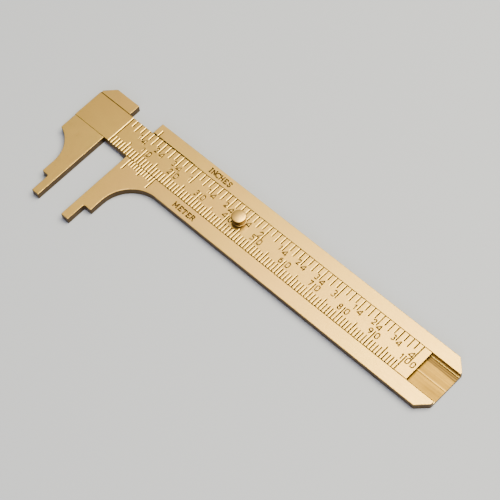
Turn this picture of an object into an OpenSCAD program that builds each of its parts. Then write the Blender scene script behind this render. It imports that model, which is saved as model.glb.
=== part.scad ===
// Pocket vernier calliper in brass. A flat frame carries the fixed jaw, the vernier and a
// dovetail groove; a slide in the groove carries the main scales, the sliding jaw and a knob.
// X runs along the slide, away from the jaws. The origin is on the frame's back face, on the
// slide's centreline, at the zero line of the vernier. Sizes are in millimetres.

/* [Travel] */
// Gap between the two measuring faces, which is also the reading
opening = 8.85; // [0.5:0.05:100]

/* [Frame] */
// Length of the frame, from the measuring face to the tail
frame_len = 105.85; // [104:0.05:130]
// Distance from the slide's centreline to the frame's inch-scale edge
frame_up = 8.4; // [7.5:0.1:11]
// Distance from the slide's centreline to the frame's jaw-side edge
frame_down = 8.8; // [7.5:0.1:11]
// Thickness of the frame and of the head
plate_t = 2.2; // [2.1:0.05:3.5]
// Leg of the 45 degree corner cuts at the frame's tail
tail_cut = 3.0; // [1:0.1:4]

/* [Slide] */
// Width of the slide at its top face
bar_w = 9.4; // [8.5:0.1:11]
// Thickness of the slide
bar_t = 1.25; // [1.2:0.05:1.4]
// How much each dovetail flank leans out from the top face to the underside
dovetail = 0.35; // [0.2:0.05:0.5]
// Running gap at each flank and under the slide
run_gap = 0.03; // [0.02:0.01:0.08]
// Width of the bearing strip left along each wall of the groove
bearing_w = 0.75; // [0.5:0.05:1.2]
// Depth of the relief milled between the bearing strips
relief_d = 0.15; // [0.1:0.05:0.25]

/* [Jaws] */
// Distance from each measuring face to its own zero line
zero_inset = 1.8; // [1.2:0.1:2.5]
// Distance from the slide's centreline to the jaw tips
jaw_reach = 28.4; // [26:0.1:36]
// Length of the slim blade at each jaw's tip
blade_len = 5.8; // [4:0.1:7]
// Width of the fixed jaw above its blade
fixed_jaw_w = 4.95; // [4:0.05:7]
// Width of the fixed jaw's blade
fixed_blade_w = 2.5; // [1.5:0.05:3.5]
// Width of the sliding jaw above its blade
slide_jaw_w = 4.6; // [4:0.05:7]
// Width of the sliding jaw's blade
slide_blade_w = 2.3; // [1.5:0.05:3.5]
// Radius of the inside corner above each blade
blade_fillet = 0.45; // [0.2:0.05:0.8]
// Width of the head that carries the sliding jaw
head_w = 11; // [10:0.1:14]
// Distance from the slide's centreline to the head's top edge
head_up = 8.3; // [7.5:0.1:11]
// Leg of the 45 degree cut on the head's outer top corner
head_cut = 2.8; // [1:0.1:4]

/* [Thumb knob] */
// Distance from the slide's zero line to the knob
knob_s = 43.3; // [20:0.1:60]
// Offset of the knob from the slide's centreline
knob_y = 0.3; // [-1:0.1:1]
// Radius of the knob's head
knob_r = 1.97; // [1.5:0.01:2.4]
// Height of the knob above the slide
knob_h = 3.0; // [2:0.1:5]
// Radius of the knob's waist
waist_r = 1.55; // [1.2:0.05:1.8]
// Radius of the riveted shank
shank_r = 1.0; // [0.8:0.05:1.2]

/* [Pins] */
// Radius of the stop pin in the groove floor
stop_r = 0.5; // [0.4:0.05:0.6]
// Radius of the two pins between the slide and the head
head_pin_r = 0.6; // [0.4:0.05:0.8]

/* [Scales] */
// Width of an engraved line at the surface
line_w = 0.55; // [0.2:0.05:0.6]
// Depth of an engraved line
line_d = 0.15; // [0.1:0.05:0.3]

/* [Hidden] */
$fn = 96;
brass = "#d8b77c";
pale_brass = "#e2c793";
dark_brass = "#b8935a";

inch = 25.4;
full_scale = 100;
inch_scale = 4;
overcut = 0.5;
fit_gap = 0.01;

slide_x = -opening;
face_x = -zero_inset;
frame_end = face_x + frame_len;
bar_end = frame_end;
bar_start = -zero_inset - head_w - 0.15;
bar_bottom = plate_t - bar_t;
half_w = bar_w / 2;

// Round corner between a jaw and its plate, and the height at which its blade starts
fixed_arc_r = 9.85;
slide_arc_r = 9.1;
slide_arc_s = -15.5;
arc_y = -18.6;
blade_y = blade_len - jaw_reach;

// The stop pin sits just inside the frame's mouth, off the centreline, clear of the rivet
stop_x = 1.0;
stop_y = -2.6;
stop_slot_gap = 0.1;
stop_slot_d = 0.7;
stop_rise = 0.55;
stop_play = 0.02;

head_pin_s = [-9.6, -5.0];
head_pin_rise = 0.8;

// Knob profile: a flange on the slide, a waist, and a slightly domed head
flange_h = 1.0;
waist_h = 0.5;
dome_h = 0.16;
rivet_r = 1.7;
rivet_d = 0.5;

// How far each kind of line runs in from the edge of its scale
mm_tick = 2.5;
mm_tick_5 = 3.5;
sixteenth_tick = 2.2;
eighth_tick = 2.9;
quarter_tick = 3.5;
last_inch_tick = 6.1;
vernier_divisions = 10;
vernier_step = 0.9;
vernier_tick = 1.9;
vernier_tick_5 = 2.7;
vernier_tick_10 = 3.9;
index_tick = 2.3;

function mm_length(i) = i % 10 == 0 ? half_w : i % 5 == 0 ? mm_tick_5 : mm_tick;

function inch_length(i) =
    i == 16 * inch_scale ? last_inch_tick :
    i % 16 == 0 ? half_w :
    i % 4 == 0 ? quarter_tick :
    i % 2 == 0 ? eighth_tick : sixteenth_tick;

function vernier_length(i) = i % 10 == 0 ? vernier_tick_10 : i == 5 ? vernier_tick_5 : vernier_tick;

// V-shaped line engraved in the top face, from y0 to y1
module engraved_line(x, y0, y1) {
    lip = 0.05;
    lip_w = line_w / 2 * (1 + lip / line_d);
    translate([x, y0, plate_t])
        rotate([-90, 0, 0])
            linear_extrude(y1 - y0)
                polygon([[-lip_w, -lip], [lip_w, -lip], [0, line_d]]);
}

// Dovetail bar along X, grown by gap on both flanks and downwards
module dovetail_bar(x0, x1, gap) {
    slope = dovetail / bar_t;
    bottom = -bar_t - gap;
    top = gap > 0 ? overcut : 0;
    wide = half_w + gap - bottom * slope;
    narrow = half_w + gap - top * slope;
    translate([x0, 0, plate_t])
        rotate([90, 0, 90])
            linear_extrude(x1 - x0)
                polygon([[-wide, bottom], [wide, bottom], [narrow, top], [-narrow, top]]);
}

// Inside corner of a blade: a square with a round bite, in the quadrant given by sign
module blade_corner(x, sign) {
    translate([x, blade_y])
        difference() {
            translate([sign > 0 ? 0 : -blade_fillet, -blade_fillet])
                square(blade_fillet);
            translate([sign * blade_fillet, -blade_fillet])
                circle(blade_fillet);
        }
}

// Plan of the fixed jaw, from the frame's edge to the blade's tip
module fixed_jaw_plan() {
    outer_x = face_x + fixed_jaw_w;
    difference() {
        translate([face_x, arc_y])
            square([fixed_jaw_w + fixed_arc_r, -arc_y - frame_down + overcut]);
        translate([outer_x + fixed_arc_r, arc_y])
            circle(-arc_y - frame_down);
        translate([outer_x + fixed_arc_r, arc_y])
            square([overcut, fixed_arc_r]);
    }
    translate([face_x, blade_y])
        square([fixed_jaw_w, arc_y - blade_y + fit_gap]);
    translate([face_x, -jaw_reach])
        square([fixed_blade_w, blade_len + fit_gap]);
    blade_corner(face_x + fixed_blade_w, 1);
}

// Flat frame with its fixed jaw, dovetail groove, vernier lines and inch index line
module frame_plate() {
    color(brass)
    difference() {
        linear_extrude(plate_t)
            union() {
                polygon([
                    [face_x, -frame_down],
                    [frame_end - tail_cut, -frame_down],
                    [frame_end, -frame_down + tail_cut],
                    [frame_end, frame_up - tail_cut],
                    [frame_end - tail_cut, frame_up],
                    [face_x, frame_up]
                ]);
                fixed_jaw_plan();
            }
        dovetail_bar(face_x - overcut, frame_end + overcut, run_gap);
        groove_relief();
        for (i = [0 : vernier_divisions])
            engraved_line(i * vernier_step, -half_w - vernier_length(i), -half_w + overcut);
        engraved_line(0, half_w - overcut, half_w + index_tick);
        translate([stop_x, stop_y, -overcut])
            cylinder(h = plate_t, r = stop_r + fit_gap);
    }
}

// Relief of the groove floor, milled in two passes that leave a low ridge between them
module groove_relief() {
    ridge_w = 0.35;
    ridge_y = -0.5;
    edge = half_w + dovetail + run_gap - bearing_w;
    floor_z = bar_bottom - run_gap - relief_d;
    length = frame_len + 2 * overcut;
    translate([face_x - overcut, ridge_y + ridge_w / 2, floor_z])
        cube([length, edge - ridge_y - ridge_w / 2, relief_d + overcut]);
    translate([face_x - overcut, -edge, floor_z])
        cube([length, edge + ridge_y - ridge_w / 2, relief_d + overcut]);
}

// Dovetail slide with the millimetre and inch lines, the stop slot and the rivet hole
module slide_bar() {
    color(pale_brass)
    translate([slide_x, 0, 0])
        difference() {
            dovetail_bar(bar_start, bar_end, 0);
            engraved_line(0, -half_w - overcut, half_w + overcut);
            for (i = [1 : full_scale])
                engraved_line(i, -half_w - overcut, -half_w + mm_length(i));
            for (i = [1 : 16 * inch_scale])
                engraved_line(i * inch / 16, half_w - inch_length(i), half_w + overcut);
            stop_slot();
            translate([knob_s, knob_y, 0])
                rivet_hole();
            for (s = head_pin_s)
                translate([s, 0, bar_bottom - overcut])
                    cylinder(h = overcut + head_pin_rise + fit_gap, r = head_pin_r + fit_gap);
        }
}

// Blind slot in the underside of the slide, in which the stop pin runs
module stop_slot() {
    slot_r = stop_r + stop_slot_gap;
    slot_start = stop_x - stop_slot_gap;
    slot_end = stop_x + full_scale - stop_slot_gap + stop_play;
    top = overcut + stop_slot_d;
    for (s = [slot_start, slot_end])
        translate([s, stop_y, bar_bottom - overcut])
            cylinder(h = top, r = slot_r);
    translate([slot_start, stop_y - slot_r, bar_bottom - overcut])
        cube([slot_end - slot_start, 2 * slot_r, top]);
}

// Hole for the knob's shank, countersunk below for the riveted end
module rivet_hole() {
    translate([0, 0, bar_bottom - overcut])
        cylinder(h = bar_t + 2 * overcut, r = shank_r + fit_gap);
    translate([0, 0, bar_bottom])
        cylinder(h = rivet_d, r1 = rivet_r + fit_gap, r2 = shank_r + fit_gap);
    translate([0, 0, bar_bottom - overcut])
        cylinder(h = overcut, r = rivet_r + fit_gap);
}

// Head plate with the sliding jaw, grooved to take the end of the slide
module head_jaw() {
    left_s = -zero_inset - head_w;
    right_s = -zero_inset;
    jaw_s = right_s - slide_jaw_w;
    color(brass)
    translate([slide_x, 0, 0])
        difference() {
            linear_extrude(plate_t)
                union() {
                    difference() {
                        polygon([
                            [left_s, arc_y],
                            [right_s, arc_y],
                            [right_s, head_up],
                            [left_s + head_cut, head_up],
                            [left_s, head_up - head_cut]
                        ]);
                        translate([jaw_s - slide_arc_r, arc_y])
                            circle(slide_arc_r);
                    }
                    translate([jaw_s, blade_y])
                        square([slide_jaw_w, arc_y - blade_y + fit_gap]);
                    translate([right_s - slide_blade_w, -jaw_reach])
                        square([slide_blade_w, blade_len + fit_gap]);
                    blade_corner(right_s - slide_blade_w, -1);
                }
            dovetail_bar(left_s - overcut, right_s + overcut, fit_gap);
            for (s = head_pin_s)
                translate([s, 0, -overcut])
                    cylinder(h = plate_t, r = head_pin_r + fit_gap);
        }
}

// Two plain pins that lock the slide in the head, flush with the head's back
module head_pins() {
    color(dark_brass)
    for (s = head_pin_s)
        translate([slide_x + s, 0, 0])
            cylinder(h = bar_bottom + head_pin_rise, r = head_pin_r);
}

// Turned knob, its shank passed through the slide and riveted over underneath
module thumb_knob() {
    dome_r = (knob_r * knob_r + dome_h * dome_h) / (2 * dome_h);
    color(brass)
    translate([slide_x + knob_s, knob_y, 0]) {
        translate([0, 0, plate_t])
            cylinder(h = flange_h, r = knob_r);
        translate([0, 0, plate_t])
            cylinder(h = flange_h + waist_h, r = waist_r);
        intersection() {
            translate([0, 0, plate_t + flange_h + waist_h])
                cylinder(h = knob_h - flange_h - waist_h, r = knob_r);
            translate([0, 0, plate_t + knob_h - dome_r])
                sphere(dome_r);
        }
        translate([0, 0, bar_bottom])
            cylinder(h = bar_t + flange_h, r = shank_r);
        translate([0, 0, bar_bottom])
            cylinder(h = rivet_d, r1 = rivet_r, r2 = shank_r);
    }
}

// Plain pin pressed up through the groove floor; it stops the slide at full scale
module stop_pin() {
    color(dark_brass)
    translate([stop_x, stop_y, 0])
        cylinder(h = bar_bottom + stop_rise, r = stop_r);
}

frame_plate();
slide_bar();
head_jaw();
head_pins();
thumb_knob();
stop_pin();
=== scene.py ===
# Pocket vernier calliper in satin brass: a grooved frame with a fixed jaw, and a dovetail slide
# that carries the scales, the sliding jaw and a turned thumb knob. The sections follow the order
# in which a maker cuts the pieces and puts them together. Lengths are in metres.
import math
import random

import bpy
from mathutils import Matrix, Vector


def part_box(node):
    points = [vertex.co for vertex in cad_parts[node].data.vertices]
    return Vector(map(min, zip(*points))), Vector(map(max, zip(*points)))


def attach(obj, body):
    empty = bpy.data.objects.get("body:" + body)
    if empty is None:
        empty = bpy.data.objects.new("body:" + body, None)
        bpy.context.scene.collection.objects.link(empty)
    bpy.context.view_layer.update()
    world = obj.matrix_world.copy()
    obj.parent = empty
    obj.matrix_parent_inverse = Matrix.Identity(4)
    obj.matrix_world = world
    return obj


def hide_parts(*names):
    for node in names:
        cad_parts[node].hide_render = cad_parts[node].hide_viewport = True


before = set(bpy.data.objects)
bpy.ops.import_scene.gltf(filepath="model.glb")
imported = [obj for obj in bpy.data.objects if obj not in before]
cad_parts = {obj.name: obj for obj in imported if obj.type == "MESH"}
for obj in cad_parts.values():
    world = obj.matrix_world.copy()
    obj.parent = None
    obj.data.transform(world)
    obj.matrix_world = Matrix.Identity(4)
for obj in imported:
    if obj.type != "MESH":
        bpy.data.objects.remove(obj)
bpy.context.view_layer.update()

# ---------------------------------------------------------------------------- frame plate
# The frame is sawn from 2.2 mm sheet brass in one with the fixed jaw. A dovetail groove is
# milled down its whole length, its floor relieved in two passes, and the vernier lines and the
# unit words are struck into the two rails. The faces are rubbed down to a satin.
mm = 0.001
plate_low, plate_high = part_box("frame_plate")
plate_t = plate_high.z
face_x = plate_low.x
frame_end = plate_high.x
frame_down = 8.8 * mm
tail_cut = 3.0 * mm
fixed_jaw_w = 4.95 * mm
fixed_blade_w = 2.5 * mm
blade_y = plate_low.y + 5.8 * mm
arc_y = -18.6 * mm
blade_fillet = 0.45 * mm
corner_round = 0.3 * mm
slide_half_w = 4.7 * mm
slide_t = 1.25 * mm
dovetail = 0.35 * mm
run_gap = 0.03 * mm
bearing_w = 0.75 * mm
relief_d = 0.15 * mm
edge_break = 0.14 * mm
overcut = 0.5 * mm


def select_only(piece):
    bpy.ops.object.select_all(action="DESELECT")
    bpy.context.view_layer.objects.active = piece
    piece.select_set(True)


def arc(centre, radius, start, stop, steps=20):
    """Points along an arc in the plan, from one angle to another, in degrees."""
    angles = [math.radians(start + (stop - start) * i / steps) for i in range(steps + 1)]
    return [(centre[0] + radius * math.cos(a), centre[1] + radius * math.sin(a)) for a in angles]


def draw_path(name, points):
    """A chain of edges, drawn on from one vertex to the next."""
    bpy.ops.object.select_all(action="DESELECT")
    bpy.ops.mesh.primitive_plane_add(size=mm)
    path = bpy.context.object
    path.name = name
    bpy.context.tool_settings.mesh_select_mode = (True, False, False)
    bpy.ops.object.mode_set(mode="EDIT")
    bpy.ops.mesh.select_all(action="SELECT")
    bpy.ops.mesh.merge(type="CENTER")
    bpy.ops.transform.translate(value=points[0])
    for here, there in zip(points, points[1:]):
        step = Vector(there) - Vector(here)
        bpy.ops.mesh.extrude_region_move(TRANSFORM_OT_translate={"value": step})
    bpy.ops.object.mode_set(mode="OBJECT")
    return path


def cut_plate(name, outline, thickness):
    """Fills an outline in the plan and gives it the thickness of the plate."""
    plate = draw_path(name, [(x, y, 0) for x, y in outline])
    bpy.ops.object.mode_set(mode="EDIT")
    bpy.ops.mesh.select_all(action="SELECT")
    bpy.ops.mesh.edge_face_add()
    bpy.ops.mesh.extrude_region_move(TRANSFORM_OT_translate={"value": (0, 0, thickness)})
    bpy.ops.mesh.select_all(action="SELECT")
    bpy.ops.mesh.normals_make_consistent(inside=False)
    bpy.ops.object.mode_set(mode="OBJECT")
    return plate


def strip(name, x0, x1, y0, y1, top, bottom, flare=0.0):
    """A straight strip along X; its underside is wider than its top by flare on each side."""
    middle = Vector(((x0 + x1) / 2, (y0 + y1) / 2, top))
    bpy.ops.object.select_all(action="DESELECT")
    bpy.ops.mesh.primitive_plane_add(size=1)
    piece = bpy.context.object
    piece.name = name
    bpy.ops.object.mode_set(mode="EDIT")
    bpy.ops.transform.resize(value=(x1 - x0, y1 - y0, 1), center_override=(0, 0, 0))
    bpy.ops.transform.translate(value=middle)
    bpy.ops.mesh.extrude_region_move(TRANSFORM_OT_translate={"value": (0, 0, bottom - top)})
    spread = 1 + 2 * flare / (y1 - y0)
    bpy.ops.transform.resize(value=(1, spread, 1), center_override=middle)
    bpy.ops.mesh.select_all(action="SELECT")
    bpy.ops.mesh.normals_make_consistent(inside=False)
    bpy.ops.object.mode_set(mode="OBJECT")
    return piece


def carve(piece, cutter, finish=None):
    """Takes the cutter's shape out of the piece; the cut faces get finish, or the cutter's own."""
    if finish:
        cutter.data.materials.clear()
        cutter.data.materials.append(finish)
    select_only(piece)
    cut = piece.modifiers.new("cut", "BOOLEAN")
    cut.operation = "DIFFERENCE"
    cut.solver = "MANIFOLD"
    cut.material_mode = "TRANSFER"
    cut.object = cutter
    bpy.ops.object.modifier_apply(modifier=cut.name)
    bpy.data.objects.remove(cutter)


def give_finish(piece, finish, wanted):
    """Gives the faces that wanted() picks, by middle and normal, a finish of their own."""
    piece.data.materials.append(finish)
    for polygon in piece.data.polygons:
        if wanted(polygon.center, polygon.normal):
            polygon.material_index = len(piece.data.materials) - 1


def break_edges(piece, width):
    """Rounds all the sharp edges of a blank, as a fine file does."""
    select_only(piece)
    bpy.context.tool_settings.mesh_select_mode = (False, True, False)
    bpy.ops.object.mode_set(mode="EDIT")
    bpy.ops.mesh.select_all(action="DESELECT")
    bpy.ops.mesh.edges_select_sharp(sharpness=math.radians(25))
    bpy.ops.mesh.bevel(offset=width, segments=3, profile=0.5, affect="EDGES")
    bpy.ops.object.mode_set(mode="OBJECT")


# Shade and roughness effects that every brass surface shares. Each is a node group with its
# own inputs, so a piece can have a coarser grain, a brighter edge or more tarnish than another.
def new_group(name, inputs, outputs):
    group = bpy.data.node_groups.new(name, "ShaderNodeTree")
    for socket, kind, default in inputs:
        made = group.interface.new_socket(socket, in_out="INPUT", socket_type=kind)
        if default is not None:
            made.default_value = default
    for socket in outputs:
        group.interface.new_socket(socket, in_out="OUTPUT", socket_type="NodeSocketFloat")
    return group, group.nodes.new("NodeGroupInput"), group.nodes.new("NodeGroupOutput")


def add(tree, kind, **settings):
    node = tree.nodes.new("ShaderNode" + kind)
    for key, value in settings.items():
        setattr(node, key, value)
    return node


def wire(tree, *ends):
    for source, target in zip(ends[::2], ends[1::2]):
        tree.links.new(source, target)


def calculate(tree, operation, first, second):
    """A Math node; each side is a socket or a number."""
    node = add(tree, "Math", operation=operation)
    for socket, side in zip(node.inputs, (first, second)):
        if isinstance(side, (int, float)):
            socket.default_value = side
        else:
            tree.links.new(side, socket)
    return node.outputs[0]


def spread_over(tree, value, low, high, start=0.3, stop=0.7):
    """Maps a pattern that runs from start to stop on to another range, such as a roughness."""
    node = add(tree, "MapRange")
    for socket, side in zip(node.inputs[1:5], (start, stop, low, high)):
        if isinstance(side, (int, float)):
            socket.default_value = side
        else:
            tree.links.new(side, socket)
    tree.links.new(value, node.inputs["Value"])
    return node.outputs["Result"]


# Rubbing grain: fine scratches drawn out along one direction, some deeper than others
grain_group, given, result = new_group(
    "rubbed_grain",
    [("Place", "NodeSocketVector", None), ("Fineness", "NodeSocketFloat", 9000.0)],
    ["Height", "Shade"],
)
fine = add(grain_group, "TexNoise")
fine.inputs["Detail"].default_value = 4.0
coarse = add(grain_group, "TexNoise")
coarse.inputs["Detail"].default_value = 3.0
wire(grain_group, given.outputs["Place"], fine.inputs["Vector"],
     given.outputs["Place"], coarse.inputs["Vector"],
     given.outputs["Fineness"], fine.inputs["Scale"])
wire(grain_group, calculate(grain_group, "MULTIPLY", given.outputs["Fineness"], 0.4),
     coarse.inputs["Scale"])
most = calculate(grain_group, "MULTIPLY", fine.outputs[0], 0.7)
rest = calculate(grain_group, "MULTIPLY", coarse.outputs[0], 0.3)
both = calculate(grain_group, "ADD", most, rest)
wire(grain_group, both, result.inputs["Height"], both, result.inputs["Shade"])

# Worn edges and painted edge highlight: brighter where the surface turns sharply, partly rubbed bright
# by wear and partly a painted highlight, broken up so that it isn't even
wear_and_highlight_group, given, result = new_group(
    "worn_edge_and_highlight",
    [("Place", "NodeSocketVector", None), ("Reach", "NodeSocketFloat", 0.0001),
     ("Amount", "NodeSocketFloat", 2.0)],
    ["Mask"],
)
rounded_side = add(wear_and_highlight_group, "Bevel", samples=6)
true_side = add(wear_and_highlight_group, "NewGeometry")
agree = add(wear_and_highlight_group, "VectorMath", operation="DOT_PRODUCT")
patches = add(wear_and_highlight_group, "TexNoise")
patches.inputs["Scale"].default_value = 900.0
wire(wear_and_highlight_group, given.outputs["Reach"], rounded_side.inputs["Radius"],
     rounded_side.outputs[0], agree.inputs[0], true_side.outputs["Normal"], agree.inputs[1],
     given.outputs["Place"], patches.inputs["Vector"])
turned = calculate(wear_and_highlight_group, "SUBTRACT", 1.0, agree.outputs["Value"])
strong = calculate(wear_and_highlight_group, "MULTIPLY", turned, given.outputs["Amount"])
uneven = calculate(wear_and_highlight_group, "ADD", patches.outputs[0], 0.35)
worn_and_highlighted = calculate(wear_and_highlight_group, "MULTIPLY", strong, uneven)
wire(wear_and_highlight_group, calculate(wear_and_highlight_group, "MINIMUM", worn_and_highlighted, 1.0), result.inputs["Mask"])

# Tarnish and painted corner shade: warmer clouds over the whole piece, fine spots, and a darker tone in
# corners and recesses, painted from the occlusion of nearby surfaces as shade
tarnish_and_corner_shade_group, given, result = new_group(
    "tarnish_and_corner_shade",
    [("Place", "NodeSocketVector", None), ("Patch Size", "NodeSocketFloat", 60.0),
     ("Reach", "NodeSocketFloat", 0.0005)],
    ["Clouds", "Spots", "Painted Corner Shade"],
)
clouds = add(tarnish_and_corner_shade_group, "TexNoise")
clouds.inputs["Detail"].default_value = 3.0
spots = add(tarnish_and_corner_shade_group, "TexNoise")
spots.inputs["Detail"].default_value = 2.0
corner_occlusion = add(tarnish_and_corner_shade_group, "AmbientOcclusion", samples=8)
wire(tarnish_and_corner_shade_group, given.outputs["Place"], clouds.inputs["Vector"],
     given.outputs["Patch Size"], clouds.inputs["Scale"],
     given.outputs["Place"], spots.inputs["Vector"],
     calculate(tarnish_and_corner_shade_group, "MULTIPLY", given.outputs["Patch Size"], 30.0), spots.inputs["Scale"],
     given.outputs["Reach"], corner_occlusion.inputs["Distance"])
wire(tarnish_and_corner_shade_group, clouds.outputs[0], result.inputs["Clouds"],
     spread_over(tarnish_and_corner_shade_group, spots.outputs[0], 0.0, 1.0, 0.62, 0.78), result.inputs["Spots"],
     calculate(tarnish_and_corner_shade_group, "SUBTRACT", 1.0, corner_occlusion.outputs["AO"]), result.inputs["Painted Corner Shade"])

# Sunk darkening: how far a point lies below the rubbed face; the colour darkens with that depth
sunk_group, given, result = new_group(
    "sunk_darkening",
    [("Place", "NodeSocketVector", None), ("Surface", "NodeSocketFloat", plate_t),
     ("Dark From", "NodeSocketFloat", 0.00005), ("Dark At", "NodeSocketFloat", 0.00015)],
    ["Mask"],
)
axes = add(sunk_group, "SeparateXYZ")
wire(sunk_group, given.outputs["Place"], axes.inputs[0])
sunk_by = calculate(sunk_group, "SUBTRACT", given.outputs["Surface"], axes.outputs["Z"])
wire(sunk_group, spread_over(sunk_group, sunk_by, 0.0, 1.0, given.outputs["Dark From"],
                             given.outputs["Dark At"]), result.inputs["Mask"])


def mix_colour(tree, amount, base, other):
    """A colour between two, each a socket or a tuple; amount is a socket."""
    node = add(tree, "Mix", data_type="RGBA")
    tree.links.new(amount, node.inputs[0])
    for socket, colour in ((node.inputs[6], base), (node.inputs[7], other)):
        if isinstance(colour, tuple):
            socket.default_value = (*colour, 1.0)
        else:
            tree.links.new(colour, socket)
    return node.outputs[2]


def new_brass(name):
    """A bare metal material; returns it with its node tree, its shader and its coordinates."""
    material = bpy.data.materials.new(name)
    material.use_nodes = True
    tree = material.node_tree
    shader = tree.nodes["Principled BSDF"]
    shader.inputs["Metallic"].default_value = 1.0
    return material, tree, shader, add(tree, "TexCoord").outputs["Object"]


def scratched(tree, shader, height, depth, strength=0.35):
    bump = add(tree, "Bump")
    bump.inputs["Strength"].default_value = strength
    bump.inputs["Distance"].default_value = depth
    wire(tree, height, bump.inputs["Height"], bump.outputs[0], shader.inputs["Normal"])


def satin_brass(name, colour, warm, stretch, roughness, grain_depth, turned_about=None):
    """Brass rubbed down with fine paper; stretch draws the grain out along the piece, and on a
    turned piece the grain runs round the axis that is given by its x and y."""
    material, tree, shader, place = new_brass(name)
    drawn = add(tree, "Mapping")
    drawn.inputs["Scale"].default_value = stretch
    grain = add(tree, "Group", node_tree=grain_group)
    wear_and_highlight = add(tree, "Group", node_tree=wear_and_highlight_group)
    tarnish_and_corner_shade = add(tree, "Group", node_tree=tarnish_and_corner_shade_group)
    wire(tree, place, drawn.inputs["Vector"], drawn.outputs[0], grain.inputs["Place"],
         place, wear_and_highlight.inputs["Place"], place, tarnish_and_corner_shade.inputs["Place"])
    if turned_about:
        centred = add(tree, "Mapping")
        centred.inputs["Location"].default_value = (-turned_about[0], -turned_about[1], 0)
        flat = add(tree, "VectorMath", operation="MULTIPLY")
        flat.inputs[1].default_value = (1, 1, 0)
        radius = add(tree, "VectorMath", operation="LENGTH")
        height = add(tree, "SeparateXYZ")
        ring = add(tree, "CombineXYZ")
        wire(tree, place, centred.inputs["Vector"], centred.outputs[0], flat.inputs[0],
             flat.outputs[0], radius.inputs[0], place, height.inputs[0],
             radius.outputs["Value"], ring.inputs["X"], height.outputs["Z"], ring.inputs["Z"],
             ring.outputs[0], grain.inputs["Place"])
    clouded = mix_colour(tree, spread_over(tree, tarnish_and_corner_shade.outputs["Clouds"], 0.0, 0.8), colour, warm)
    spotted = mix_colour(tree, calculate(tree, "MULTIPLY", tarnish_and_corner_shade.outputs["Spots"], 0.12),
                         clouded, deep_brown)
    grained = mix_colour(tree, spread_over(tree, grain.outputs["Shade"], 0.0, 0.1), spotted, deep_brown)
    # Corners and recesses are darkened towards deep brown: painted shade from the occlusion mask
    corner_shaded = mix_colour(tree, tarnish_and_corner_shade.outputs["Painted Corner Shade"], grained, deep_brown)
    # Sharp edges are mixed towards bright brass: partly wear, partly a painted highlight
    edged = mix_colour(tree, wear_and_highlight.outputs["Mask"], corner_shaded, bright_brass)
    wire(tree, edged, shader.inputs["Base Color"],
         spread_over(tree, grain.outputs["Shade"], *roughness), shader.inputs["Roughness"])
    scratched(tree, shader, grain.outputs["Height"], grain_depth)
    return material


def cut_brass(name, colour, stretch, fineness, roughness, contrast, depth, reach=0.0005):
    """Brass as a saw, file or milling cutter leaves it: tool marks, tarnish clouds, and painted shade
    in corners and recesses.
    """
    material, tree, shader, place = new_brass(name)
    drawn = add(tree, "Mapping")
    drawn.inputs["Scale"].default_value = stretch
    marks = add(tree, "Group", node_tree=grain_group)
    marks.inputs["Fineness"].default_value = fineness
    tarnish_and_corner_shade = add(tree, "Group", node_tree=tarnish_and_corner_shade_group)
    tarnish_and_corner_shade.inputs["Patch Size"].default_value = 200.0
    tarnish_and_corner_shade.inputs["Reach"].default_value = reach
    wire(tree, place, drawn.inputs["Vector"], drawn.outputs[0], marks.inputs["Place"],
         place, tarnish_and_corner_shade.inputs["Place"])
    marked = mix_colour(tree, spread_over(tree, marks.outputs["Shade"], 0.0, contrast),
                        colour, deep_brown)
    clouded = mix_colour(tree, spread_over(tree, tarnish_and_corner_shade.outputs["Clouds"], 0.0, 0.25),
                         marked, deep_brown)
    # Corners and recesses are darkened towards deep brown: painted shade from the occlusion mask
    corner_shaded = mix_colour(tree, tarnish_and_corner_shade.outputs["Painted Corner Shade"], clouded, deep_brown)
    wire(tree, corner_shaded, shader.inputs["Base Color"],
         spread_over(tree, marks.outputs["Shade"], *roughness), shader.inputs["Roughness"])
    scratched(tree, shader, marks.outputs["Height"], depth, 0.6)
    return material


def struck_brass(name, colour, dark_from, dark_at):
    """The walls of a struck or engraved mark: their own colour at the lip, darker towards the bottom.
    """
    material, tree, shader, place = new_brass(name)
    tarnish_and_corner_shade = add(tree, "Group", node_tree=tarnish_and_corner_shade_group)
    tarnish_and_corner_shade.inputs["Patch Size"].default_value = 1500.0
    sunk = add(tree, "Group", node_tree=sunk_group)
    sunk.inputs["Dark From"].default_value = dark_from
    sunk.inputs["Dark At"].default_value = dark_at
    wire(tree, place, tarnish_and_corner_shade.inputs["Place"], place, sunk.inputs["Place"])
    patchy = mix_colour(tree, spread_over(tree, tarnish_and_corner_shade.outputs["Clouds"], 0.0, 0.35),
                        colour, deep_brown)
    darkened_with_depth = mix_colour(tree, sunk.outputs["Mask"], patchy, deep_brown)
    wire(tree, darkened_with_depth, shader.inputs["Base Color"],
         spread_over(tree, sunk.outputs["Mask"], 0.3, 0.6, 0.0, 1.0), shader.inputs["Roughness"])
    return material


# Each direction of the tool marks is a stretch of the pattern: small along the marks
brass = (0.89, 0.575, 0.165)
warm_brass = (0.88, 0.53, 0.18)
bright_brass = (1.0, 0.70, 0.32)
deep_brown = (0.055, 0.032, 0.012)
rubbed_along = (0.08, 1.0, 1.0)
satin_roughness = (0.31, 0.41)
satin_grain = 0.000003
frame_satin = satin_brass("frame_satin", brass, warm_brass, rubbed_along, satin_roughness,
                          satin_grain)
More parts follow.
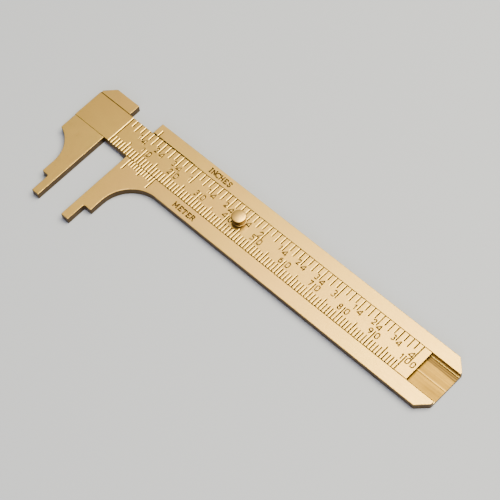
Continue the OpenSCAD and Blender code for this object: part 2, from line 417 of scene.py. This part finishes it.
# The side walls are painted dark brown: a painted shade for walls that turn away from the lights
filed_wall_painted_shade = cut_brass("filed_wall_painted_shade", (0.115, 0.072, 0.033), (1.0, 1.0, 0.05), 5000.0,
                       (0.36, 0.52), contrast=0.5, depth=0.000006)
milled_along = (0.02, 1.0, 1.0)
milled_fineness = 2600.0
milled_roughness = (0.42, 0.56)
milled_bearing = cut_brass("milled_bearing", (0.93, 0.64, 0.21), (0.03, 1.0, 1.0), milled_fineness,
                           (0.34, 0.46), contrast=0.2, depth=0.000004, reach=0.0002)
milled_relief = cut_brass("milled_relief", (0.47, 0.27, 0.045), milled_along, milled_fineness,
                          milled_roughness, contrast=0.45, depth=0.000008)
milled_ridge = cut_brass("milled_ridge", (0.70, 0.42, 0.10), milled_along, milled_fineness,
                         milled_roughness, contrast=0.3, depth=0.000006, reach=0.0001)
# Dark brown for the last pass: a painted shadow beside the upper rail
milled_step_painted_shadow = cut_brass("milled_step_painted_shadow", (0.25, 0.15, 0.045), milled_along, 4000.0,
                        milled_roughness, contrast=1.0, depth=0.00001, reach=0.001)
# Near-black for joints: old polish in the joint, and painted shade of the gap and of the slide's end
joint_polish_and_painted_shade = cut_brass("joint_polish_and_painted_shade", (0.028, 0.017, 0.008), (0.1, 1.0, 1.0), 4000.0,
                       (0.45, 0.6), contrast=0.3, depth=0.000004)
engraved = struck_brass("engraved_brass", (0.96, 0.64, 0.20), dark_from=0.035 * mm, dark_at=0.10 * mm)
painted_flank_shade = struck_brass("painted_flank_shade", (0.032, 0.021, 0.010), dark_from=0.0, dark_at=0.07 * mm)
lighter_painted_flank_shade = struck_brass("lighter_painted_flank_shade", (0.08, 0.052, 0.022), dark_from=0.0, dark_at=0.09 * mm)
figured = struck_brass("figured_brass", (0.90, 0.58, 0.18), dark_from=0.015 * mm, dark_at=0.085 * mm)
lettered = struck_brass("lettered_brass", (0.16, 0.10, 0.036), dark_from=0.0, dark_at=0.05 * mm)

jaw_outer = face_x + fixed_jaw_w
blade_outer = face_x + fixed_blade_w
fixed_arc_r = -arc_y - frame_down
frame_outline = [
    (face_x, plate_high.y),
    (face_x, plate_low.y),
    (blade_outer, plate_low.y),
    *arc((blade_outer + blade_fillet, blade_y - blade_fillet), blade_fillet, 180, 90, 6),
    *arc((jaw_outer - corner_round, blade_y + corner_round), corner_round, -90, 0, 5),
    *arc((jaw_outer + fixed_arc_r, arc_y), fixed_arc_r, 180, 90, 40),
    (frame_end - tail_cut, -frame_down),
    (frame_end, tail_cut - frame_down),
    (frame_end, plate_high.y - tail_cut),
    (frame_end - tail_cut, plate_high.y),
]
frame_piece = cut_plate("frame_piece", frame_outline, plate_t)
break_edges(frame_piece, edge_break)
give_finish(frame_piece, frame_satin, lambda middle, normal: True)
# The side walls take the dark wall colour, a painted shade
give_finish(frame_piece, filed_wall_painted_shade, lambda middle, normal: abs(normal.z) < 0.3)

slide_bottom = plate_t - slide_t
groove_floor = slide_bottom - run_gap
flank_slope = dovetail / slide_t
groove_half_top = slide_half_w + run_gap - overcut * flank_slope
groove_flare = (overcut + slide_t + run_gap) * flank_slope
groove = strip("groove", face_x - overcut, frame_end + overcut, -groove_half_top, groove_half_top,
               plate_t + overcut, groove_floor, groove_flare)
carve(frame_piece, groove, milled_bearing)

relief_edge = slide_half_w + dovetail + run_gap - bearing_w
ridge_y = -0.5 * mm
ridge_w = 0.35 * mm
for y0, y1 in ((-relief_edge, ridge_y - ridge_w / 2), (ridge_y + ridge_w / 2, relief_edge)):
    carve(frame_piece, strip("relief", face_x - overcut, frame_end + overcut, y0, y1,
                             groove_floor + overcut, groove_floor - relief_d), milled_relief)

# One narrow last pass beside the upper bearing, a skim deeper; its floor is painted dark brown as the
# shadow beside the upper rail
last_pass = 1.5 * mm
skim = 0.02 * mm
carve(frame_piece, strip("last_pass", face_x - overcut, frame_end + overcut, relief_edge - last_pass,
                         relief_edge + skim, groove_floor + overcut, groove_floor - relief_d - skim),
      milled_step_painted_shadow)
give_finish(frame_piece, milled_ridge, lambda middle, normal: abs(middle.y - ridge_y) < ridge_w
            and abs(middle.z - groove_floor) < skim and normal.z > 0.5)


def joint_edge(piece, x0, x1, y, reach, depth):
    """Breaks the long top edge along a dovetail joint and paints the break near-black: old polish in
    the joint, and painted shade of the gap.
    """
    carve(piece, strip("edge_cutter", x0 - overcut, x1 + overcut, y - reach, y + reach,
                       plate_t + skim, plate_t - depth, -0.9 * reach), joint_polish_and_painted_shade)


worn_mouth = face_x + 15 * mm
joint_edge(frame_piece, face_x, frame_end, -slide_half_w, reach=0.28 * mm, depth=0.12 * mm)
joint_edge(frame_piece, face_x, frame_end, slide_half_w, reach=0.21 * mm, depth=0.16 * mm)
joint_edge(frame_piece, face_x, worn_mouth, slide_half_w, reach=0.36 * mm, depth=0.26 * mm)

# The line tool leaves a V with sloping ends. It is modelled once and copied to every line.
line_w = 0.55 * mm
line_d = 0.15 * mm
lip = 0.05 * mm
lip_w = line_w * (1 + lip / line_d)
end_slope = 0.08 * mm
tool_length = 1.0 * mm
tool_middle = (0, tool_length / 2, 0)
bpy.ops.object.select_all(action="DESELECT")
bpy.ops.mesh.primitive_plane_add(size=1)
line_tool = bpy.context.object
bpy.ops.object.mode_set(mode="EDIT")
bpy.ops.transform.resize(value=(lip_w, tool_length, 1), center_override=(0, 0, 0))
bpy.ops.transform.translate(value=(0, tool_length / 2, lip))
bpy.ops.mesh.extrude_region_move(TRANSFORM_OT_translate={"value": (0, 0, -lip - line_d)})
bpy.ops.transform.resize(value=(0, 1 - 2 * end_slope / tool_length, 1), center_override=tool_middle)
bpy.ops.mesh.remove_doubles(threshold=0.001 * mm)
bpy.ops.mesh.select_all(action="SELECT")
bpy.ops.mesh.normals_make_consistent(inside=False)
bpy.ops.object.mode_set(mode="OBJECT")
give_finish(line_tool, engraved, lambda middle, normal: True)
# One flank of each line, the one that turns from the key light, is painted near-black as shade
give_finish(line_tool, painted_flank_shade, lambda middle, normal: normal.x > 0.2)


def line_mark(x, y0, y1):
    """A copy of the line tool's mark, stretched to run across the plate from y0 to y1."""
    mesh = line_tool.data.copy()
    for vertex in mesh.vertices:
        if vertex.co.y > tool_length / 2:
            vertex.co.y += y1 - y0 - tool_length
    mesh.transform(Matrix.Translation((x, y0, plate_t)))
    return mesh


def gather(name, meshes):
    """One cutter from many separate marks."""
    bpy.ops.object.select_all(action="DESELECT")
    for mesh in meshes:
        mark = bpy.data.objects.new(name, mesh)
        bpy.context.collection.objects.link(mark)
        mark.select_set(True)
        bpy.context.view_layer.objects.active = mark
    bpy.ops.object.join()
    return bpy.context.object


vernier_step = 0.9 * mm
vernier_lengths = {0: 3.9 * mm, 5: 2.7 * mm, 10: 3.9 * mm}
short_vernier = 1.9 * mm
index_length = 2.3 * mm
vernier_marks = [
    line_mark(i * vernier_step, -slide_half_w - vernier_lengths.get(i, short_vernier),
              -slide_half_w + overcut)
    for i in range(11)
]
vernier_marks.append(line_mark(0, slide_half_w - overcut, slide_half_w + index_length))
carve(frame_piece, gather("vernier_lines", vernier_marks))

# Punches for letters and figures. A character is a few strokes on a body one unit high. A
# stroke has a starting point, a heading in degrees, and runs: a number goes straight on, and a
# pair is a radius and the angle turned through, positive to the left. "closed" ends it on itself.
punch_strokes = {
    "0": [((0.58, 0.3), 90, [0.4, (0.29, 180), 0.4, (0.29, 180)], "closed")],
    "1": [((0.38, 0.0), 90, [1.0]), ((0.38, 0.99), 222, [0.36])],
    "2": [((0.02, 0.7), 90, [(0.28, -224.8), 0.68]), ((-0.02, 0.02), 0, [0.64])],
    "3": [((0.09, 0.87), 60, [(0.24, -240)]), ((0.3, 0.54), 0, [(0.27, -240)])],
    "4": [((0.56, 0.0), 90, [1.0]), ((-0.1, 0.28), 0, [0.86]), ((0.57, 1.0), 227, [1.0])],
    "5": [((0.08, 0.98), 0, [0.46]), ((0.08, 1.0), 270, [0.48]), ((0.068, 0.512), 45, [(0.3, -270)])],
    "6": [((0.58, 0.28), 90, [(0.28, 180), (0.28, 180)], "closed"),
          ((0.02, 0.3), 90, [0.15, (0.5, -75)])],
    "7": [((0.0, 0.98), 0, [0.6]), ((0.58, 1.0), 249, [1.05])],
    "8": [((0.53, 0.76), 90, [(0.23, 180), (0.23, 180)], "closed"),
          ((0.57, 0.27), 90, [(0.27, 180), (0.27, 180)], "closed")],
    "9": [((0.02, 0.72), 270, [(0.28, 180), (0.28, 180)], "closed"),
          ((0.58, 0.7), 270, [0.15, (0.5, -75)])],
    "I": [((0.2, 0.0), 90, [1.0]), ((0.0, 0.03), 0, [0.4]), ((0.0, 0.97), 0, [0.4])],
    "N": [((0.14, 0.0), 90, [1.0]), ((0.78, 0.0), 90, [1.0]), ((0.12, 0.98), 304, [1.18]),
          ((0.0, 0.03), 0, [0.28]), ((0.62, 0.97), 0, [0.32])],
    "C": [((0.8, 0.86), 142, [(0.48, 256)]), ((0.84, 0.98), 270, [0.32])],
    "H": [((0.14, 0.0), 90, [1.0]), ((0.74, 0.0), 90, [1.0]), ((0.14, 0.5), 0, [0.6]),
          ((0.0, 0.03), 0, [0.28]), ((0.0, 0.97), 0, [0.28]),
          ((0.6, 0.03), 0, [0.28]), ((0.6, 0.97), 0, [0.28])],
    "E": [((0.16, 0.0), 90, [1.0]), ((0.0, 0.03), 0, [0.76]), ((0.0, 0.97), 0, [0.72]),
          ((0.16, 0.5), 0, [0.36]), ((0.73, 0.0), 90, [0.26]), ((0.7, 1.0), 270, [0.26]),
          ((0.5, 0.38), 90, [0.24])],
    "S": [((0.56, 0.87), 120, [(0.25, 240), (0.25, -240)]), ((0.62, 0.98), 270, [0.26]),
          ((0.08, 0.02), 90, [0.26])],
    "M": [((0.16, 0.0), 90, [1.0]), ((0.98, 0.0), 90, [1.0]), ((0.16, 0.98), 297, [0.86]),
          ((0.98, 0.98), 243, [0.86]), ((0.0, 0.03), 0, [0.32]), ((0.82, 0.03), 0, [0.32]),
          ((0.0, 0.97), 0, [0.2]), ((0.94, 0.97), 0, [0.2])],
    "T": [((0.42, 0.0), 90, [1.0]), ((0.0, 0.97), 0, [0.84]), ((0.03, 1.0), 270, [0.28]),
          ((0.81, 1.0), 270, [0.28]), ((0.26, 0.03), 0, [0.32])],
    "R": [((0.16, 0.0), 90, [1.0]), ((0.0, 0.97), 0, [0.45, (0.235, -180), 0.32]),
          ((0.46, 0.5), 306, [0.6]), ((0.0, 0.03), 0, [0.32]), ((0.7, 0.03), 0, [0.26])],
}
punch_d = 0.13 * mm
bend_step = 15  # degrees
slip = 0.04  # millimetres
tilt = 2  # degrees
# The spin operator turns clockwise for a positive angle
spin_sense = -1


def punch_stroke(height, width, start, heading, runs, closed=None):
    """Sweeps a V-shaped section along the runs of one stroke and returns its mesh."""
    bpy.ops.object.select_all(action="DESELECT")
    bpy.ops.mesh.primitive_circle_add(vertices=3, radius=width, fill_type="NGON")
    stroke = bpy.context.object
    here = Vector((start[0] * height, start[1] * height, 0))
    way = math.radians(heading)
    half = width / 2 * (1 + lip / punch_d)
    section = ((half, lip), (-half, lip), (0, -punch_d))
    for vertex, (across, z) in zip(stroke.data.vertices, section):
        vertex.co = here + Vector((-math.sin(way) * across, math.cos(way) * across, z))
    bpy.ops.object.mode_set(mode="EDIT")
    bpy.ops.mesh.select_all(action="SELECT")
    for run in runs:
        ahead = Vector((math.cos(way), math.sin(way), 0))
        if isinstance(run, tuple):
            radius, turn = run[0] * height, math.radians(run[1])
            side = Vector((-ahead.y, ahead.x, 0)) * math.copysign(radius, turn)
            centre = here + side
            steps = max(4, round(abs(run[1]) / bend_step))
            bpy.ops.mesh.spin(steps=steps, angle=spin_sense * turn, center=centre, axis=(0, 0, 1))
            here = centre + Matrix.Rotation(turn, 3, "Z") @ -side
            way += turn
        else:
            bpy.ops.mesh.extrude_region_move(TRANSFORM_OT_translate={"value": ahead * run * height})
            here = here + ahead * run * height
    bpy.ops.object.mode_set(mode="OBJECT")
    if closed:
        for polygon in stroke.data.polygons:
            polygon.select = len(polygon.vertices) == 3
        bpy.context.tool_settings.mesh_select_mode = (False, False, True)
        bpy.ops.object.mode_set(mode="EDIT")
        bpy.ops.mesh.delete(type="ONLY_FACE")
        bpy.ops.mesh.select_all(action="SELECT")
        bpy.ops.mesh.remove_doubles(threshold=0.003 * mm)
        bpy.ops.object.mode_set(mode="OBJECT")
    bpy.ops.object.mode_set(mode="EDIT")
    bpy.ops.mesh.select_all(action="SELECT")
    bpy.ops.mesh.normals_make_consistent(inside=False)
    bpy.ops.object.mode_set(mode="OBJECT")
    give_finish(stroke, figured, lambda middle, normal: True)
    # The faces that turn from the key light are painted darker, as shade
    give_finish(stroke, lighter_painted_flank_shade, lambda middle, normal: normal.x > 0.15)
    mesh = stroke.data
    bpy.data.objects.remove(stroke)
    return mesh


made_punches = {}
hand = random.Random(5)


def strike(layers, character, height, width, x, y):
    """Strikes a character with its lower left corner at x, y, a little out of true."""
    key = (character, round(height / mm, 3))
    if key not in made_punches:
        made_punches[key] = [punch_stroke(height, width, *stroke)
                             for stroke in punch_strokes[character]]
    place = Matrix.Translation((x + hand.uniform(-slip, slip) * mm,
                                y + hand.uniform(-slip, slip) * mm, plate_t))
    place = place @ Matrix.Rotation(math.radians(hand.uniform(-tilt, tilt)), 4, "Z")
    for layer, stroke in enumerate(made_punches[key]):
        mesh = stroke.copy()
        mesh.transform(place)
        layers.setdefault(layer, []).append(mesh)


def carve_layers(piece, layers, finish=None):
    """Carves the first strokes of all characters, then the second ones, and so on."""
    for layer in sorted(layers):
        carve(piece, gather("strokes", layers[layer]), finish)


# Unit words, struck letter by letter on the rails
letter_h = 1.4 * mm
letter_w = 0.36 * mm
word_layers = {}
words = (
    ("INCHES", 5.9 * mm, (17.7, 18.5, 19.95, 21.25, 22.8, 24.25)),
    ("METER", -7.6 * mm, (17.9, 19.85, 21.2, 22.7, 24.0)),
)
for word, base_y, starts in words:
    for letter, start_x in zip(word, starts):
        strike(word_layers, letter, letter_h, letter_w, start_x * mm, base_y)
carve_layers(frame_piece, word_layers, lettered)


def finish_piece(piece, body, node):
    """Flat faces stay flat and broken edges shade round; then the piece takes its node's place."""
    select_only(piece)
    bpy.ops.object.shade_smooth_by_angle(angle=math.radians(26))
    weighted = piece.modifiers.new("flat_faces", "WEIGHTED_NORMAL")
    weighted.keep_sharp = True
    bpy.ops.object.modifier_apply(modifier=weighted.name)
    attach(piece, body)
    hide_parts(node)


finish_piece(frame_piece, "frame_body", "frame_plate")

# ------------------------------------------------------------------------------- stop pin
# A short brass pin, pressed up through the groove floor just inside the frame's mouth. Its
# domed top runs in a slot under the slide and stops it at full scale. Its foot is dressed flush.
stop_low, stop_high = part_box("stop_pin")
stop_x = (stop_low.x + stop_high.x) / 2
stop_y = (stop_low.y + stop_high.y) / 2
stop_r = (stop_high.x - stop_low.x) / 2
fit_gap = 0.01 * mm


def turn_on_lathe(name, profile, x, y, steps=48):
    """A turned piece: its half profile, radius and height from axis to axis, spun round."""
    piece = draw_path(name, [(x + r, y, z) for r, z in profile])
    bpy.ops.object.mode_set(mode="EDIT")
    bpy.ops.mesh.select_all(action="SELECT")
    bpy.ops.mesh.spin(steps=steps, angle=math.tau, center=(x, y, 0), axis=(0, 0, 1))
    bpy.ops.mesh.select_all(action="SELECT")
    bpy.ops.mesh.remove_doubles(threshold=0.0005 * mm)
    bpy.ops.mesh.normals_make_consistent(inside=False)
    bpy.ops.object.mode_set(mode="OBJECT")
    return piece


def rounded(r, z, radius, start, stop, steps=5):
    """Profile points round a broken edge whose arc is centred at r, z."""
    return arc((r, z), radius, start, stop, steps)


def bored_hole(piece, x, y, radius, bottom, top):
    """A plain hole from one height to another."""
    drill = turn_on_lathe("drill", [(0, bottom), (radius, bottom), (radius, top), (0, top)], x, y)
    # The bore takes the dark wall colour, a painted shade
    carve(piece, drill, filed_wall_painted_shade)


bored_hole(frame_piece, stop_x, stop_y, stop_r + fit_gap, -overcut, slide_bottom)
pin_round = 0.12 * mm
foot_break = 0.03 * mm
stop_piece = turn_on_lathe("stop_pin_piece", [
    (0, 0), (stop_r - foot_break, 0), (stop_r, foot_break),
    *rounded(stop_r - pin_round, stop_high.z - pin_round, pin_round, 0, 90), (0, stop_high.z),
], stop_x, stop_y)
no_stretch = (1.0, 1.0, 1.0)
pin_satin = satin_brass("pin_satin", (0.84, 0.49, 0.13), (0.80, 0.45, 0.12), no_stretch,
                        (0.3, 0.42), satin_grain)
give_finish(stop_piece, pin_satin, lambda middle, normal: True)
finish_piece(stop_piece, "frame_body", "stop_pin")

# ------------------------------------------------------------------------------ slide bar
# The slide is a dovetail strip drawn from brass, flush with the rails. Its lower edge has a
# millimetre scale to 100 and its upper edge an inch scale in sixteenths to 4, engraved with the
# same line tool as the vernier, with struck figures between them.
slide_low, slide_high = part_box("slide_bar")
head_low, head_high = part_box("head_jaw")
zero_inset = 1.8 * mm
slide_zero = head_high.x + zero_inset
inch = 25.4 * mm
slide_piece = strip("slide_piece", slide_low.x, slide_high.x, -slide_half_w, slide_half_w,
                    plate_t, slide_bottom, dovetail)
slide_break = 0.06 * mm
break_edges(slide_piece, slide_break)
slide_satin = satin_brass("slide_satin", (0.875, 0.56, 0.16), (0.84, 0.50, 0.15), rubbed_along,
                          satin_roughness, satin_grain)
give_finish(slide_piece, slide_satin, lambda middle, normal: True)
# The side walls take the dark wall colour, a painted shade
give_finish(slide_piece, filed_wall_painted_shade, lambda middle, normal: abs(normal.z) < 0.5)
# The slide's end face and its joint edges are painted near-black as shade
give_finish(slide_piece, joint_polish_and_painted_shade, lambda middle, normal: normal.x > 0.5
            or (abs(normal.y) > 0.3 and middle.z > plate_t - slide_break))

# The scale lines' shaded flanks are painted a lighter shade than the vernier's. Every fifth and tenth
# one is longer.
line_tool.data.materials[1] = lighter_painted_flank_shade
fifth_mm = 3.5 * mm
short_mm = 2.5 * mm
mm_lengths = {0: slide_half_w, 5: fifth_mm}
quarter_line = 3.5 * mm
eighth_line = 2.9 * mm
sixteenth_line = 2.2 * mm
last_inch = 6.1 * mm
inch_lengths = {0: slide_half_w, 4: quarter_line, 8: quarter_line, 12: quarter_line}
mm_lines = [line_mark(slide_zero, -slide_half_w - overcut, slide_half_w + overcut)]
mm_lines += [
    line_mark(slide_zero + i * mm, -slide_half_w - overcut,
              -slide_half_w + mm_lengths.get(i % 10, short_mm))
    for i in range(1, 101)
]
carve(slide_piece, gather("millimetres", mm_lines))
inch_lines = []
for i in range(1, 65):
    length = inch_lengths.get(i % 16, eighth_line if i % 2 == 0 else sixteenth_line)
    if i == 64:
        length = last_inch
    inch_lines.append(line_mark(slide_zero + i * inch / 16, slide_half_w - length,
                                slide_half_w + overcut))
carve(slide_piece, gather("sixteenths", inch_lines))
bpy.data.objects.remove(line_tool)

# Figures: tens and noughts stand either side of each long millimetre line
figure_h = 1.6 * mm
figure_y = -1.56 * mm
figure_w = 0.58
figure_stroke = 0.36 * mm
ten_left = 1.12 * mm
nought_right = 1.2 * mm
hundred = (("1", 99.15 * mm), ("0", 101.15 * mm), ("0", 102.85 * mm))
hundred_drop = 0.12 * mm


def strike_figure(layers, character, height, centre_x, base_y):
    """Strikes a figure whose middle stands at centre_x."""
    strike(layers, character, height, figure_stroke, centre_x - figure_w / 2 * height, base_y)


mm_layers = {}
for ten in range(1, 10):
    line_x = slide_zero + 10 * ten * mm
    strike_figure(mm_layers, str(ten), figure_h, line_x - ten_left, figure_y)
    strike_figure(mm_layers, "0", figure_h, line_x + nought_right, figure_y)
for character, centre_x in hundred:
    strike_figure(mm_layers, character, figure_h, slide_zero + centre_x, figure_y - hundred_drop)
carve_layers(slide_piece, mm_layers)

# Whole inches stand left of their line; quarters have 1 to 3 on the left and a lower 4 on the right
whole_h, whole_left, whole_y = 1.85 * mm, 0.92 * mm, 0.05 * mm
over_h, over_left, over_y = 1.5 * mm, 0.9 * mm, 0.92 * mm
under_h, under_right, under_y = 1.6 * mm, 1.04 * mm, 0.42 * mm
inch_layers = {}
for quarter in range(1, 17):
    line_x = slide_zero + quarter * inch / 4
    if quarter % 4 == 0:
        strike_figure(inch_layers, str(quarter // 4), whole_h, line_x - whole_left, whole_y)
    else:
        strike_figure(inch_layers, str(quarter % 4), over_h, line_x - over_left, over_y)
        strike_figure(inch_layers, "4", under_h, line_x + under_right, under_y)
carve_layers(slide_piece, inch_layers)

# Underneath: the slot for the stop pin, milled with a small cutter from end to end
slot_gap = 0.1 * mm
slot_travel = 99.92 * mm
slot_r = stop_r + slot_gap
slot_top = slide_bottom + 0.7 * mm
slot_start = slide_zero + stop_x - slot_gap
slot_end = slide_zero + stop_x + slot_travel
slot_outline = arc((slot_start, stop_y), slot_r, 270, 90) + arc((slot_end, stop_y), slot_r, 90, -90)
slot_cutter = cut_plate("slot", slot_outline, slot_top)
carve(slide_piece, slot_cutter, milled_bearing)

# ------------------------------------------------------------------------------ head jaw
# The head is cut from the same sheet as the frame, with the sliding jaw in one with it. A
# dovetail channel across it takes the end of the slide, which is soldered in and dressed flush,
# so that only two fine joint lines show on its face.
slide_jaw_w = 4.6 * mm
slide_blade_w = 2.3 * mm
slide_jaw_x = head_high.x - slide_jaw_w
slide_blade_x = head_high.x - slide_blade_w
slide_arc_r = 9.1 * mm
head_cut = 2.8 * mm
arc_centre = (slide_jaw_x - slide_arc_r, arc_y)
arc_top = math.degrees(math.acos((head_low.x - arc_centre[0]) / slide_arc_r))
head_outline = [
    (head_low.x, head_high.y - head_cut),
    *arc(arc_centre, slide_arc_r, arc_top, 0, 32),
    *arc((slide_jaw_x + corner_round, blade_y + corner_round), corner_round, 180, 270, 5),
    *arc((slide_blade_x - blade_fillet, blade_y - blade_fillet), blade_fillet, 90, 0, 6),
    (slide_blade_x, head_low.y),
    (head_high.x, head_low.y),
    (head_high.x, head_high.y),
    (head_low.x + head_cut, head_high.y),
]
head_piece = cut_plate("head_piece", head_outline, plate_t)
break_edges(head_piece, edge_break)
rubbed_across = (1.0, 0.08, 1.0)
head_satin = satin_brass("head_satin", (0.875, 0.57, 0.17), warm_brass, rubbed_across,
                         satin_roughness, satin_grain)
give_finish(head_piece, head_satin, lambda middle, normal: True)
# The side walls take the dark wall colour, a painted shade
give_finish(head_piece, filed_wall_painted_shade, lambda middle, normal: abs(normal.z) < 0.3)
channel_half = slide_half_w + fit_gap - overcut * flank_slope
channel_flare = (overcut + slide_t + fit_gap) * flank_slope
carve(head_piece, strip("channel", head_low.x - overcut, head_high.x + overcut, -channel_half,
                        channel_half, plate_t + overcut, slide_bottom - fit_gap, channel_flare),
      milled_bearing)
joint_edge(head_piece, head_low.x, head_high.x, -slide_half_w, reach=0.12 * mm, depth=0.09 * mm)
joint_edge(head_piece, head_low.x, head_high.x, slide_half_w, reach=0.24 * mm, depth=0.18 * mm)

# ------------------------------------------------------------------------------ head pins
# Two plain brass pins go up through the head's back into blind holes in the slide, and are
# dressed flush. They lock the soldered joint.
pins_low, pins_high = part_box("head_pins")
head_pin_r = (pins_high.y - pins_low.y) / 2
pin_places = (pins_low.x + head_pin_r, pins_high.x - head_pin_r)
for number, pin_x in enumerate(pin_places, start=1):
    bored_hole(head_piece, pin_x, 0, head_pin_r + fit_gap, -overcut, slide_bottom + overcut)
    bored_hole(slide_piece, pin_x, 0, head_pin_r + fit_gap, slide_bottom - overcut,
               pins_high.z + fit_gap)
    pin_piece = turn_on_lathe(f"head_pin_{number}", [
        (0, 0), (head_pin_r - foot_break, 0), (head_pin_r, foot_break),
        *rounded(head_pin_r - pin_round, pins_high.z - pin_round, pin_round, 0, 90),
        (0, pins_high.z),
    ], pin_x, 0)
    give_finish(pin_piece, pin_satin, lambda middle, normal: True)
    finish_piece(pin_piece, "slide_body", "head_pins")
finish_piece(head_piece, "slide_body", "head_jaw")

# ------------------------------------------------------------------------------ thumb knob
# The knob is turned from brass rod: a flange that sits on the slide, a narrow waist, and a head
# with a soft edge and a slight dome. Its shank goes through the slide and is riveted over in a
# countersink, flush with the underside.
knob_low, knob_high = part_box("thumb_knob")
knob_x = (knob_low.x + knob_high.x) / 2
knob_y = (knob_low.y + knob_high.y) / 2
knob_r = (knob_high.x - knob_low.x) / 2
knob_top = knob_high.z
shank_r = 1.0 * mm
waist_r = 1.55 * mm
rivet_r = 1.7 * mm
rivet_depth = 0.5 * mm
flange_t = 1.0 * mm
waist_length = 0.5 * mm
rivet_top = slide_bottom + rivet_depth
flange_top = plate_t + flange_t
head_bottom = flange_top + waist_length
edge_round = 0.12 * mm
top_round = 0.3 * mm
dome = 0.16 * mm
dome_r = (knob_r ** 2 + dome ** 2) / (2 * dome)
dome_reach = knob_r - top_round
dome_edge = knob_top - dome_r + math.sqrt(dome_r ** 2 - dome_reach ** 2)
# The rivet hole's walls take the dark wall colour, a painted shade
carve(slide_piece, turn_on_lathe("rivet_hole", [
    (0, slide_bottom - overcut), (rivet_r + fit_gap, slide_bottom - overcut),
    (rivet_r + fit_gap, slide_bottom), (shank_r + fit_gap, rivet_top),
    (shank_r + fit_gap, plate_t + overcut), (0, plate_t + overcut),
], knob_x, knob_y), filed_wall_painted_shade)
finish_piece(slide_piece, "slide_body", "slide_bar")
dome_radii = [dome_reach * (4 - i) / 5 for i in range(5)]
dome_line = [(r, knob_top - dome_r + math.sqrt(dome_r ** 2 - r ** 2)) for r in dome_radii]
knob_profile = [
    (0, slide_bottom), (rivet_r, slide_bottom), (shank_r, rivet_top), (shank_r, plate_t),
    *rounded(knob_r - edge_round, plate_t + edge_round, edge_round, -90, 0),
    *rounded(knob_r - edge_round, flange_top - edge_round, edge_round, 0, 90),
    *rounded(waist_r + edge_round, flange_top + edge_round, edge_round, 270, 180),
    *rounded(waist_r + edge_round, head_bottom - edge_round, edge_round, 180, 90),
    *rounded(knob_r - edge_round, head_bottom + edge_round, edge_round, -90, 0),
    *rounded(knob_r - top_round, dome_edge - top_round, top_round, 0, 84, 8),
    *dome_line,
]
knob_piece = turn_on_lathe("knob_piece", knob_profile, knob_x, knob_y, 72)
knob_axis = (knob_x, knob_y)
turned_grain = 0.000004
knob_turned = satin_brass("knob_turned", brass, warm_brass, no_stretch, (0.30, 0.42), turned_grain,
                          knob_axis)
# The knob's sides and undersides are painted dark brown as shade
knob_side_painted_shade = satin_brass("knob_side_painted_shade", (0.10, 0.066, 0.03), (0.07, 0.045, 0.02), no_stretch,
                        (0.25, 0.40), turned_grain, knob_axis)
give_finish(knob_piece, knob_turned, lambda middle, normal: True)
give_finish(knob_piece, knob_side_painted_shade, lambda middle, normal: normal.z < 0.6)
finish_piece(knob_piece, "slide_body", "thumb_knob")

# ------------------------------------------------------------------------------ camera
# A long lens looks steeply down on the scale face, from the jaws' side and beyond the tail end,
# and is rolled a little so that the tool lies from corner to corner.
camera = bpy.data.objects.new("camera", bpy.data.cameras.new("camera"))
bpy.context.collection.objects.link(camera)
camera.data.sensor_width = 36.0
camera.data.lens = 133.13
aim = Vector((42.22, -3.92, 2.2)) * mm
camera_distance = 463.8 * mm
azimuth, elevation, roll = (math.radians(a) for a in (51.86, 59.09, -8.91))
back = Vector((math.sin(azimuth) * math.cos(elevation), -math.cos(azimuth) * math.cos(elevation),
               math.sin(elevation)))
level = Vector((math.cos(azimuth), math.sin(azimuth), 0))
upright = back.cross(level)
right = level * math.cos(roll) + upright * math.sin(roll)
up = back.cross(right)
turned_to = Matrix((right, up, back)).transposed().to_4x4()
camera.matrix_world = Matrix.Translation(aim + back * camera_distance) @ turned_to
bpy.context.scene.camera = camera

# ------------------------------------------------------------------------------ studio
# A pale floor, a large warm softbox that the flat faces mirror, a small white fill and a dim sky.
# The large one stands beyond the tail end, so the brass brightens from the head towards the tail.
world = bpy.data.worlds.new("studio")
bpy.context.scene.world = world
world.use_nodes = True
sky = world.node_tree.nodes["Background"]
sky.inputs["Color"].default_value = (0.80, 0.88, 1.0, 1)
sky.inputs["Strength"].default_value = 0.17

bpy.ops.object.select_all(action="DESELECT")
bpy.ops.mesh.primitive_plane_add(size=6, location=(0, 0, -0.01 * mm))
floor = bpy.context.object
floor.name = "floor"
floor_paint = bpy.data.materials.new("floor_paint")
floor_paint.use_nodes = True
floor_shader = floor_paint.node_tree.nodes["Principled BSDF"]
floor_shader.inputs["Base Color"].default_value = (0.355, 0.385, 0.57, 1)
floor_shader.inputs["Roughness"].default_value = 0.7
floor.data.materials.append(floor_paint)


def softbox(name, place, size, power, colour):
    """A rectangular light that faces the tool."""
    light = bpy.data.lights.new(name, "AREA")
    light.shape = "RECTANGLE"
    light.size, light.size_y = size
    light.energy = power
    light.color = colour
    lamp = bpy.data.objects.new(name, light)
    bpy.context.collection.objects.link(lamp)
    lamp.location = place
    lamp.rotation_euler = (Vector(place) - aim).to_track_quat("Z", "Y").to_euler()


softbox("key", (0.225, 0.27, 0.75), size=(0.74, 0.70), power=26.0, colour=(1.0, 0.91, 0.55))
softbox("fill", (0.50, -0.58, 0.44), size=(0.4, 0.4), power=3.0, colour=(1.0, 0.98, 0.96))

# ------------------------------------------------------------------------------ update
# The view layer is brought up to date.
bpy.context.view_layer.update()
